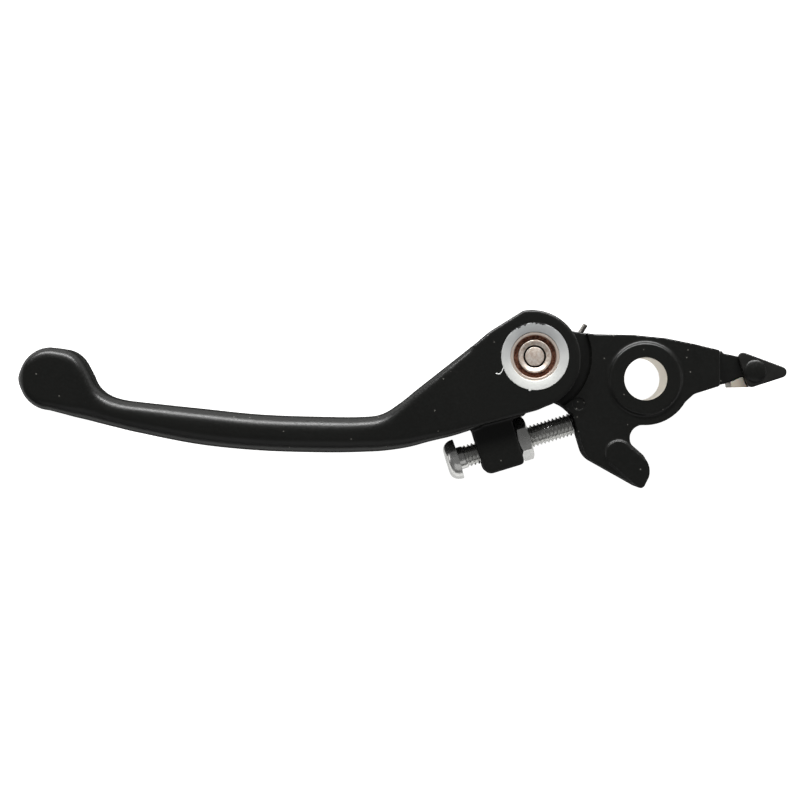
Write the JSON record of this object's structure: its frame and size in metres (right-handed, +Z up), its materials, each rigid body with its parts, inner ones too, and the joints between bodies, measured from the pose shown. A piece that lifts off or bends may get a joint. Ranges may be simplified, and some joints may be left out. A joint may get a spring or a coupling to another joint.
{
  "type": "clutch lever",
  "caption": "Folding motorcycle clutch lever: ball-ended grip on a sprung fork joint, hooked knuckle with a pivot bore and striker tail, and a threaded reach adjuster with locknut.",
  "frame": {"origin": "centre of the main pivot bore, at the middle of its length", "axes": "+Z up along the main pivot bore, +X along the lever from the grip towards the striker tail, +Y towards the front of the motorcycle"},
  "size_m": [0.1979, 0.0456, 0.0191],
  "materials": {
    "black_paint": "satin black paint with a fine cast texture",
    "bare_aluminium": "punched, satin",
    "bronze": "brown sintered bronze, oiled, with a bright rim",
    "bolt_steel": "warm zinc plating",
    "bright_zinc": "bright zinc plating",
    "spring_steel": "drawn wire",
    "washer_steel": "ground",
    "black_plastic": "moulded, slightly glossy at its edges",
    "beige_plastic": "natural nylon, slightly translucent"
  },
  "bodies": {
    "inner_lever": {"knuckle": "black_paint", "torsion_spring": "spring_steel", "striker_tip": "black_plastic", "striker_rivet": "black_paint", "switch_pad": "beige_plastic"},
    "outer_lever": {"lever_blade": "black_paint", "pivot_sleeve": "bronze", "pivot_washer": "bare_aluminium", "pivot_bolt": "bolt_steel", "pivot_nut": "bolt_steel", "thrust_washer_upper": "washer_steel", "thrust_washer_lower": "washer_steel"},
    "adjuster": {"adjuster_screw": "bright_zinc"},
    "locknut": {"adjuster_locknut": "bright_zinc"}
  },
  "joints": [
    {"name": "fold", "type": "hinge", "parent": "inner_lever", "child": "outer_lever", "pos_m": [-0.0285, 0.0057, 0], "axis": [0, 0, -1], "range_deg": [0, 90], "stiffness_Nm_per_rad": 0.27, "springref_deg": -57.3, "deforming": ["torsion_spring"]},
    {"name": "adjust", "type": "slide", "parent": "outer_lever", "child": "adjuster", "axis": [0.9563, 0.2924, 0], "range_m": [-0.006, 0]},
    {"name": "locknut_travel", "type": "slide", "parent": "outer_lever", "child": "locknut", "axis": [0.9563, 0.2924, 0], "range_m": [0, 0.005]}
  ]
}
